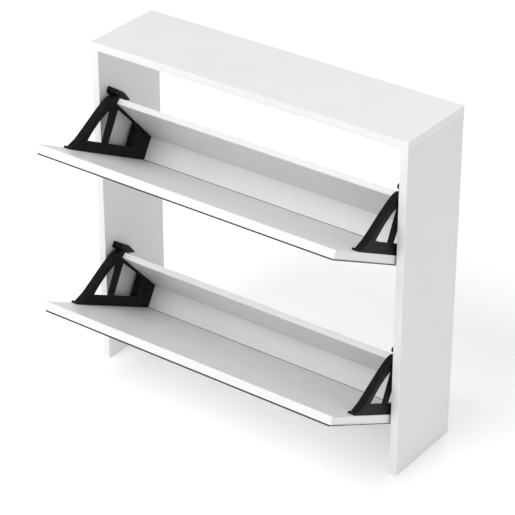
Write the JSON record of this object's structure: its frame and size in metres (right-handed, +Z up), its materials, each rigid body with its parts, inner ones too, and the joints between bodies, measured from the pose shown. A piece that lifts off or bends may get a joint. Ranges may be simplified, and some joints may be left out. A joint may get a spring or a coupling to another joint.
{
  "type": "shoe cabinet",
  "caption": "Slim white shoe cabinet, an open-backed frame with tilting flaps that each carry a mirror in front and a shoe trough behind.",
  "frame": {"origin": "on the floor, under the middle of the box that the open cabinet takes up", "axes": "+X along the width, to the right as seen from the front; +Y to the back, towards the wall; +Z up"},
  "size_m": [0.7, 0.37, 0.69],
  "materials": {
    "white_board": "satin melamine",
    "black_plastic": "fine moulded texture",
    "black_nylon": "satin",
    "mirror": "polished",
    "steel": "zinc plated",
    "zinc": "die cast",
    "dowel_wood": "bare beech"
  },
  "bodies": {
    "cabinet": {"top_panel": "white_board", "left_side_panel": "white_board", "right_side_panel": "white_board", "upper_rear_rail": "white_board", "lower_rear_rail": "white_board", "carcass_dowels": "dowel_wood", "cam_locks": "zinc", "cam_bolts": "steel", "wall_brackets": "steel", "wall_bracket_screws": "steel", "upper_left_bush": "black_nylon", "upper_right_bush": "black_nylon", "lower_left_bush": "black_nylon", "lower_right_bush": "black_nylon", "upper_left_stop_peg": "black_nylon", "upper_right_stop_peg": "black_nylon", "lower_left_stop_peg": "black_nylon", "lower_right_stop_peg": "black_nylon"},
    "upper_flap": {"upper_door": "white_board", "upper_mirror": "mirror", "upper_bottom_board": "white_board", "upper_back_board": "white_board", "upper_left_bracket": "black_plastic", "upper_right_bracket": "black_plastic", "upper_pivot_pins": "steel", "upper_bracket_screws": "steel", "upper_trough_dowels": "dowel_wood", "upper_trough_screws": "steel"},
    "lower_flap": {"lower_door": "white_board", "lower_mirror": "mirror", "lower_bottom_board": "white_board", "lower_back_board": "white_board", "lower_left_bracket": "black_plastic", "lower_right_bracket": "black_plastic", "lower_pivot_pins": "steel", "lower_bracket_screws": "steel", "lower_trough_dowels": "dowel_wood", "lower_trough_screws": "steel"}
  },
  "joints": [
    {"name": "upper_flap_tilt", "type": "hinge", "parent": "cabinet", "child": "upper_flap", "pos_m": [0, 0.01603, 0.449], "axis": [-1, 0, 0], "range_deg": [0, 62.5]},
    {"name": "lower_flap_tilt", "type": "hinge", "parent": "cabinet", "child": "lower_flap", "pos_m": [0, 0.01603, 0.1145], "axis": [-1, 0, 0], "range_deg": [0, 62.5]}
  ]
}
